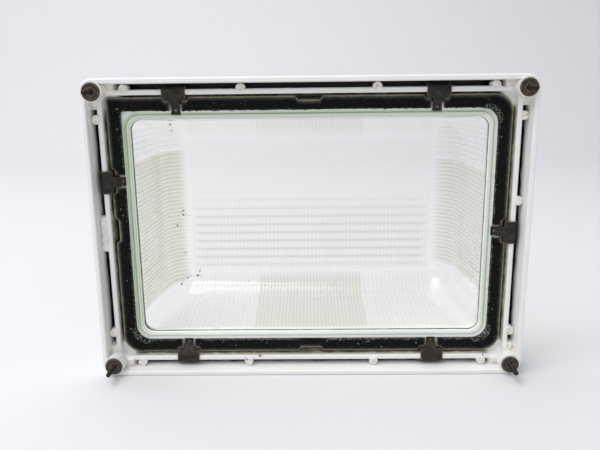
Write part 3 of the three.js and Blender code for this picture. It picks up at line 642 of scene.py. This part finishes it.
starts_at = np.flatnonzero(in_slot & ~np.roll(in_slot, -1))
for number, first in enumerate(starts_at):
    strip = (np.arange(first + 1, first + 1 + len(in_slot)) % len(in_slot))
    strip = strip[:np.argmax(in_slot[strip])]
    outside, inside = felt_outside[strip], felt_inside[strip]
    share = section_across[None, :] + np.zeros((len(strip), 1))
    rough = felt_random.normal(0, 1, share.shape)
    rough = (rough + np.roll(rough, 1, 0) * 0.6) / 1.2
    share = share + 0.011 * rough * (section_height > 0.1) * np.where(section_across > 0.9, 2.4, 0.6)
    lift = section_height[None, :] * (1 + 0.035 * felt_random.normal(0, 1, share.shape))
    end_round = fade(np.minimum(np.arange(len(strip)), np.arange(len(strip))[::-1]) + 0.35, 2.2)
    lift = np.clip(lift, 0, 1) * (0.72 + 0.28 * end_round[:, None])
    points = outside[:, None] + (inside - outside)[:, None] * share[..., None]
    points[..., 1] = rim_y + felt_front - (felt_front - felt_rear) * lift
    middle = points.mean(1, keepdims=True)
    points = np.concatenate([np.broadcast_to(middle[:1], points[:1].shape), points,
                             np.broadcast_to(middle[-1:], points[-1:].shape)])
    width = np.linalg.norm(inside - outside, axis=1)
    from_edge = np.minimum(section_across[None, :] * width[:, None],
                           beside_slot[strip][:, None] * 1.6 + 0.0002)
    from_edge = np.concatenate([from_edge[:1] * 0, from_edge, from_edge[:1] * 0]) * 1000
    where = points.mean((0, 1))
    spot = ("top" if where[2] > half_height else "bottom") if abs(where[0]) < half_width / 4 else (
        ("upper" if where[2] > half_height else "lower") + ("_right" if where[0] > 0 else "_left"))
    felt_name = "felt_strip_" + spot
    felt = mesh_object("felt_pile_" + spot, points.reshape(-1, 3),
                       grid_faces(points.shape[0], points.shape[1], wrap=True)[:, ::-1], black_felt,
                       from_cut_edge=from_edge)
    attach(felt, "cover")
    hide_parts(felt_name)


# Spring clips: T-shaped blanks of spring steel, heat-blackened and lightly rusted. The wide saddle snaps
# over the inner wall and the tongue, with a pressed dimple, holds the flange down.
def rounded_path(corners, times=3):
    """A path with its corners cut: each pass puts two points on each stretch, a quarter from its ends."""
    path = np.asarray(corners, float)
    for _ in range(times):
        near = path[:-1] * 0.75 + path[1:] * 0.25
        far = path[:-1] * 0.25 + path[1:] * 0.75
        path = np.concatenate([path[:1], np.stack([near, far], 1).reshape(-1, 2), path[-1:]])
    return path


# Its bends, as inset and depth in millimetres: up the channel, over the inner wall, down to the glass.
clip_path = rounded_path([
    (6.4, 17.4), (8.6, 14.2), (8.6, 11.0), (9.2, 10.2), (13.6, 10.2), (14.6, 10.7), (17.9, 12.7),
    (21.5, 16.2), (24.0, 17.8), (26.5, 18.15), (28.4, 17.9), (29.3, 17.0)]) / 1000
travel = np.concatenate([[0], np.cumsum(np.linalg.norm(np.diff(clip_path, axis=0), axis=1))])
even = np.linspace(0, travel[-1], 120)
clip_path = np.stack([np.interp(even, travel, clip_path[:, axis]) for axis in (0, 1)], -1)
saddle_end = np.interp(0.0176, clip_path[40:, 0], even[40:])
half = np.interp(even, [0, 0.0006, saddle_end - 0.0009, saddle_end, saddle_end + 0.0007, even[-1] - 0.004,
                        even[-1] - 0.0012, even[-1]],
                 [0.0088, 0.0095, 0.0095, 0.0088, 0.0042, 0.0036, 0.0040, 0.0038])
lane = np.linspace(-1, 1, 19)
spread = lane[None, :] * half[:, None]
dimple_at = np.interp(0.0262, clip_path[40:, 0], even[40:])
from_dimple = np.hypot(even[:, None] - dimple_at, spread)
dimple = 0.0005 * np.clip(1 - (from_dimple / 0.0019) ** 2, 0, 1)
# Painted highlight on the dimple and along the sheared edges, kept in the attribute worn.
sheared_edge_highlight = 0.3 * np.clip(np.abs(lane[None, :]) * 12 - 11, 0, 1)
highlight_share = np.clip(1.3 - from_dimple / 0.0011, 0, 1) + sheared_edge_highlight
# The tongues differ in length: each has this share of the longest one's reach past tongue_from.
tongue_from = 0.018
tongue_reach = {"clip_top_left": 1.0, "clip_top_right": 0.92, "clip_left": 0.78, "clip_right": 0.86,
                "clip_bottom_left": 0.82, "clip_bottom_right": 0.82}

# Heat-blackened spring steel: a dull dark scale of 0.7 mm grain, browned by rust in blotches of 3 mm, with
# a pale tan painted highlight on the dimple and the sheared edges.
spring_steel = new_material("heat-blackened spring steel with light rust")
steel_place = add_node(spring_steel, "TexCoord").outputs["Object"]
rust_noise = add_node(spring_steel, "TexNoise", Vector=steel_place, Scale=330.0, Detail=6.0, Roughness=0.75)
steel_colour = add_node(spring_steel, "ValToRGB", stops=[
    (0.34, "#131211"), (0.48, "#25211f"), (0.58, "#3b342d"), (0.70, "#4b3a2c"), (0.80, "#80552f")],
    Fac=rust_noise)
# The attribute worn carries the pale tan painted highlight.
painted_highlight_mask = add_node(spring_steel, "Attribute", {"attribute_name": "worn"}).outputs["Fac"]
steel_colour = add_node(spring_steel, "Mix", {"data_type": "RGBA"}, Factor_Float=painted_highlight_mask,
                        A_Color=steel_colour, B_Color=linear("#a08f72")).outputs[2]
dull = add_node(spring_steel, "MapRange", Value=rust_noise, To_Min=0.42, To_Max=0.85)
scale_grain = add_node(spring_steel, "TexNoise", Vector=steel_place, Scale=1400.0, Detail=3.0)
steel_bump = add_node(spring_steel, "Bump", Height=scale_grain, Strength=0.35, Distance=0.0002)
steel_shader = add_node(spring_steel, "BsdfPrincipled", Base_Color=steel_colour, Metallic=0.35,
                        Roughness=dull, Normal=steel_bump)
add_node(spring_steel, "OutputMaterial", Surface=steel_shader)

for clip_name, wall_name in clip_walls.items():
    clip_inset = clip_path[:, :1]
    clip_inset = clip_inset - np.clip(clip_inset - tongue_from, 0, None) * (1 - tongue_reach[clip_name])
    points = wall_points(wall_name, clip_places[clip_name], clip_inset, spread, clip_path[:, 1:] + dimple)
    clip = mesh_object("spring_" + clip_name, points.reshape(-1, 3), grid_faces(*points.shape[:2]),
                       spring_steel, worn=highlight_share)
    plate = clip.modifiers.new("plate thickness", "SOLIDIFY")
    plate.thickness, plate.offset = 0.0008, 0.0
    worn = clip.modifiers.new("sheared edges", "BEVEL")
    worn.width, worn.segments, worn.limit_method, worn.angle_limit = 0.00012, 2, "ANGLE", radians(50)
    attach(clip, "cover")
    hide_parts(clip_name)


# Push-on retainers: round caps stamped from spring steel, phosphated brown-black. Teeth round the hole
# bite into the screw's thread and keep the screw captive in its boss.
corner_names = ("top_left", "top_right", "bottom_left", "bottom_right")
cap_profile = rounded_path([(7.0, 0.1), (7.0, 1.35), (6.35, 1.85), (5.6, 1.75), (5.0, 1.3), (4.3, 1.25),
                            (3.4, 1.5), (2.35, 2.05)]) / 1000
tooth_count, tooth_slot, slot_reach, spokes = 8, 0.00045, 0.0045, 128
spoke = np.arange(spokes) * 2 * np.pi / spokes
cap_faces = grid_faces(len(cap_profile), spokes, wrap=True)
face_turn = (cap_faces[:, 0] % spokes + 0.5) * 2 * np.pi / spokes
face_radius = cap_profile[cap_faces[:, 0] // spokes, 0]
from_slot = np.mod(face_turn + np.pi / tooth_count, 2 * np.pi / tooth_count) - np.pi / tooth_count
cap_faces = cap_faces[~((face_radius < slot_reach) & (np.abs(from_slot) * face_radius < tooth_slot))]

# Phosphate coat: dull brown-black. Its crystals are under 0.1 mm and are drawn at 2.4 mm, as mottling.
phosphated = new_material("brown-black phosphated spring steel")
cap_place = add_node(phosphated, "TexCoord").outputs["Object"]
crystals = add_node(phosphated, "TexNoise", Vector=cap_place, Scale=420.0, Detail=5.0, Roughness=0.7)
cap_colour = add_node(phosphated, "ValToRGB", stops=[
    (0.32, "#2a2420"), (0.50, "#4a4037"), (0.66, "#665747"), (0.82, "#8a6d4d")], Fac=crystals)
cap_dull = add_node(phosphated, "MapRange", Value=crystals, To_Min=0.38, To_Max=0.75)
cap_bump = add_node(phosphated, "Bump", Height=crystals, Strength=0.4, Distance=0.0003)
cap_shader = add_node(phosphated, "BsdfPrincipled", Base_Color=cap_colour, Metallic=0.4, Roughness=cap_dull,
                      Normal=cap_bump)
add_node(phosphated, "OutputMaterial", Surface=cap_shader)

for corner in corner_names:
    low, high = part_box("retainer_" + corner)
    middle_x, middle_z = (low[0] + high[0]) / 2, (low[2] + high[2]) / 2
    points = np.stack([middle_x + cap_profile[:, :1] * np.cos(spoke),
                       high[1] - cap_profile[:, 1:] + 0 * spoke,
                       middle_z + cap_profile[:, :1] * np.sin(spoke)], -1)
    cap = mesh_object("push_cap_" + corner, points.reshape(-1, 3), cap_faces, phosphated)
    sheet_steel = cap.modifiers.new("sheet thickness", "SOLIDIFY")
    sheet_steel.thickness, sheet_steel.offset = 0.0004, 0.0
    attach(cap, "captive_set_" + corner)
    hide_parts("retainer_" + corner)


# Captive screws: slotted cheese-head machine screws, M4 by 50, black oxide on steel. The thread is
# rolled, and the head sits in a recess at the front of each boss.
thread_radius, thread_height, thread_pitch, shank_end = 0.0020, 0.00036, 0.0007, -0.0199
turns_long, facets = 0.021, 28
thread_depth = np.arange(0, turns_long, thread_pitch / 7)
around = np.arange(facets) * 2 * np.pi / facets
phase = np.mod(thread_depth[:, None] / thread_pitch - around[None, :] / (2 * np.pi), 1)
thread = thread_radius - thread_height * np.abs(2 * phase - 1)
thread *= (0.72 + 0.28 * fade(thread_depth, 0.0012))[:, None]
head_radius, head_low, head_high, drive_half, drive_deep = 0.0039, 0.0324, 0.0355, 0.0006, 0.0014
chord = np.concatenate([-np.cos(np.linspace(0, np.pi / 2 - 0.16, 9)), [-drive_half / head_radius] * 2,
                        np.linspace(-0.1, 0.1, 3), [drive_half / head_radius] * 2,
                        np.cos(np.linspace(np.pi / 2 - 0.16, 0, 9))]) * head_radius
in_drive = np.abs(chord) < drive_half + 1e-7
in_drive[[9, 15]] = False  # the upper edges of the driver slot stay level with the head
reach = np.sqrt(np.clip(head_radius ** 2 - chord ** 2, 0, None))
across = np.linspace(-1, 1, 15)

# Black oxide: a thin dark skin with a low metallic shine, worn brownish in patches of 2 mm.
oxide = new_material("black oxide on rolled steel")
oxide_place = add_node(oxide, "TexCoord").outputs["Object"]
oxide_noise = add_node(oxide, "TexNoise", Vector=oxide_place, Scale=500.0, Detail=4.0)
oxide_colour = add_node(oxide, "ValToRGB", stops=[(0.35, "#1d1b1a"), (0.6, "#34302c"), (0.8, "#5d4c3d")],
                        Fac=oxide_noise)
oxide_dull = add_node(oxide, "MapRange", Value=oxide_noise, To_Min=0.3, To_Max=0.6)
oxide_shader = add_node(oxide, "BsdfPrincipled", Base_Color=oxide_colour, Metallic=0.7,
                        Roughness=oxide_dull)
add_node(oxide, "OutputMaterial", Surface=oxide_shader)

for corner in corner_names:
    low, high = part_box("screw_" + corner)
    middle_x, middle_z = (low[0] + high[0]) / 2, (low[2] + high[2]) / 2
    radius = np.concatenate([np.zeros((1, facets)), thread, np.full((2, facets), thread_radius)])
    deep = rim_y + np.concatenate([[shank_end], shank_end + thread_depth,
                                   [shank_end + turns_long, head_low + 0.0001]])
    shank = np.stack([middle_x + radius * np.cos(around), deep[:, None] + 0 * radius,
                      middle_z + radius * np.sin(around)], -1)
    shank = np.concatenate([shank, np.broadcast_to(shank[-1:].mean(1, keepdims=True), shank[:1].shape)])
    grid_x = middle_x + reach[:, None] * across
    grid_z = middle_z + chord[:, None] + 0 * across
    top = rim_y + head_high - np.where(in_drive, drive_deep, 0)[:, None] + 0 * across
    under = np.full_like(top, rim_y + head_low)
    loop = np.stack([np.concatenate([grid_x, grid_x[:, ::-1]], 1), np.concatenate([top, under], 1),
                     np.concatenate([grid_z, grid_z], 1)], -1)
    shank_count = shank.shape[0] * facets
    screw_faces = [grid_faces(shank.shape[0], facets, wrap=True)[:, ::-1],
                   grid_faces(loop.shape[0], loop.shape[1], wrap=True)[:, ::-1] + shank_count]
    screw = mesh_object("cheese_head_screw_" + corner,
                        np.concatenate([shank.reshape(-1, 3), loop.reshape(-1, 3)]), screw_faces, oxide)
    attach(screw, "screw_" + corner)
    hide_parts("screw_" + corner)


# Seat seal: a soft cord of closed-cell silicone sponge between the flange and the bezel.
# Silicone sponge: soft, matt, off-white. Its cells are about 0.3 mm and are drawn at 1.1 mm.
sponge = new_material("closed-cell silicone sponge")
sponge_place = add_node(sponge, "TexCoord").outputs["Object"]
cells = add_node(sponge, "TexVoronoi", Vector=sponge_place, Scale=900.0).outputs["Distance"]
sponge_colour = add_node(sponge, "ValToRGB", stops=[(0.1, "#a39f92"), (0.8, "#c6c2b4")], Fac=cells)
sponge_bump = add_node(sponge, "Bump", Height=cells, Strength=0.4, Distance=0.0004)
sponge_shader = add_node(sponge, "BsdfPrincipled", Base_Color=sponge_colour, Roughness=0.85,
                         Normal=sponge_bump)
add_node(sponge, "OutputMaterial", Surface=sponge_shader)
seal_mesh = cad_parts["seat_seal"].data
seal_mesh.materials.clear()
seal_mesh.materials.append(sponge)


# Dirt: dry brown crumbs of soil and rust that gathered down the left side of the bowl. Each is a small lumpy
# mound seated on the glass by a ray from the rear, at a place rounded to half a millimetre.
dirt_random = np.random.default_rng(23)
bowl_inside = BVHTree.FromPolygons(inner_points.reshape(-1, 3).tolist(),
                                   grid_faces(*inner_points.shape[:2], wrap=True).tolist())
dirt_places, dirt_facing = [], []
for across_mm, up_mm in ((-128.5, 209.5), (-130.5, 202), (-125.5, 123), (-125, 118.5), (-131, 108.5),
                         (-125, 80), (-129.5, 49), (-123.5, 54), (-114.5, 55.5), (-112, 60)):
    seat, normal = bowl_inside.ray_cast((across_mm / 1000, rim_y, up_mm / 1000), (0, 1, 0))[:2]
    dirt_places.append(seat)
    dirt_facing.append(normal * (-1 if normal.y > 0 else 1))
# Three more face the rear at the bottom inner wall. They are placed by number, so some hang off the metal.
for across_mm, depth_mm, up_mm in ((-45.2, 11.0, 13.2), (-56.0, 9.6, 10.5), (149.5, 9.8, 14.0)):
    dirt_places.append((across_mm / 1000, rim_y + depth_mm / 1000, up_mm / 1000))
    dirt_facing.append((0, -1, 0))
dirt_places, dirt_facing = np.array(dirt_places), np.array(dirt_facing)
dirt_size = 0.0022 * np.array([1.1, 0.7, 0.8, 1.0, 0.8, 0.7, 1.0, 0.9, 1.1, 0.8, 1.1, 0.9, 0.8])
# Each crumb has five smaller ones strewn about it.
copies, crumb_sides = 6, 9
dirt_facing = np.repeat(dirt_facing / np.linalg.norm(dirt_facing, axis=1, keepdims=True), copies, 0)
is_copy = np.arange(len(dirt_facing)) % copies > 0
spread_from = dirt_random.normal(0, 0.0021, (len(dirt_facing), 3)) * is_copy[:, None]
spread_from -= (spread_from * dirt_facing).sum(1, keepdims=True) * dirt_facing
dirt_at = np.repeat(dirt_places, copies, 0) + spread_from
crumb = np.repeat(dirt_size, copies) * np.where(is_copy, 0.42, 1.0) / 2
side_way = np.cross(dirt_facing, (0.1, 0.2, 1.0))
side_way /= np.linalg.norm(side_way, axis=1, keepdims=True)
other_way = np.cross(dirt_facing, side_way)
crumb_turn = np.arange(crumb_sides) * 2 * np.pi / crumb_sides
crumb_rise = np.linspace(-0.5, np.pi / 2, 5)
crumb_shape = np.stack(np.broadcast_arrays(
    np.cos(crumb_rise)[:, None] * np.cos(crumb_turn), np.cos(crumb_rise)[:, None] * np.sin(crumb_turn),
    0.45 * np.sin(crumb_rise)[:, None]), -1)
crumb_noise = dirt_random.uniform(0.65, 1.25, (len(dirt_at), 1, crumb_sides, 1))
crumb_local = crumb_shape[None] * crumb_noise * crumb[:, None, None, None]
crumb_local = np.concatenate([crumb_local[:, :1] * (0, 0, 1), crumb_local], 1)
crumb_local[:, :1, :, 2] = crumb_local[:, :1, :, 2].mean(-1, keepdims=True)
crumb_local[:, -1] = crumb_local[:, -1].mean(1, keepdims=True)
crumb_points = dirt_at[:, None, None] + sum(
    crumb_local[..., axis:axis + 1] * way[:, None, None]
    for axis, way in enumerate((side_way, other_way, dirt_facing)))
rows_each = crumb_local.shape[1]
crumb_quads = grid_faces(rows_each, crumb_sides, wrap=True)
points_each = rows_each * crumb_sides
crumb_faces = np.concatenate([crumb_quads + number * points_each for number in range(len(dirt_at))])

# Dry soil: matt rust-brown, mottled by grains of 0.6 mm.
soil = new_material("dry rust-brown soil")
soil_place = add_node(soil, "TexCoord").outputs["Object"]
soil_grain = add_node(soil, "TexNoise", Vector=soil_place, Scale=1800.0, Detail=3.0)
soil_colour = add_node(soil, "ValToRGB", stops=[(0.35, "#7a5430"), (0.65, "#bd925e")], Fac=soil_grain)
soil_bump = add_node(soil, "Bump", Height=soil_grain, Strength=0.6, Distance=0.0002)
soil_shader = add_node(soil, "BsdfPrincipled", Base_Color=soil_colour, Roughness=0.9, Normal=soil_bump)
add_node(soil, "OutputMaterial", Surface=soil_shader)
dirt = mesh_object("dirt_crumbs", crumb_points.reshape(-1, 3), crumb_faces, soil)
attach(dirt, "cover")
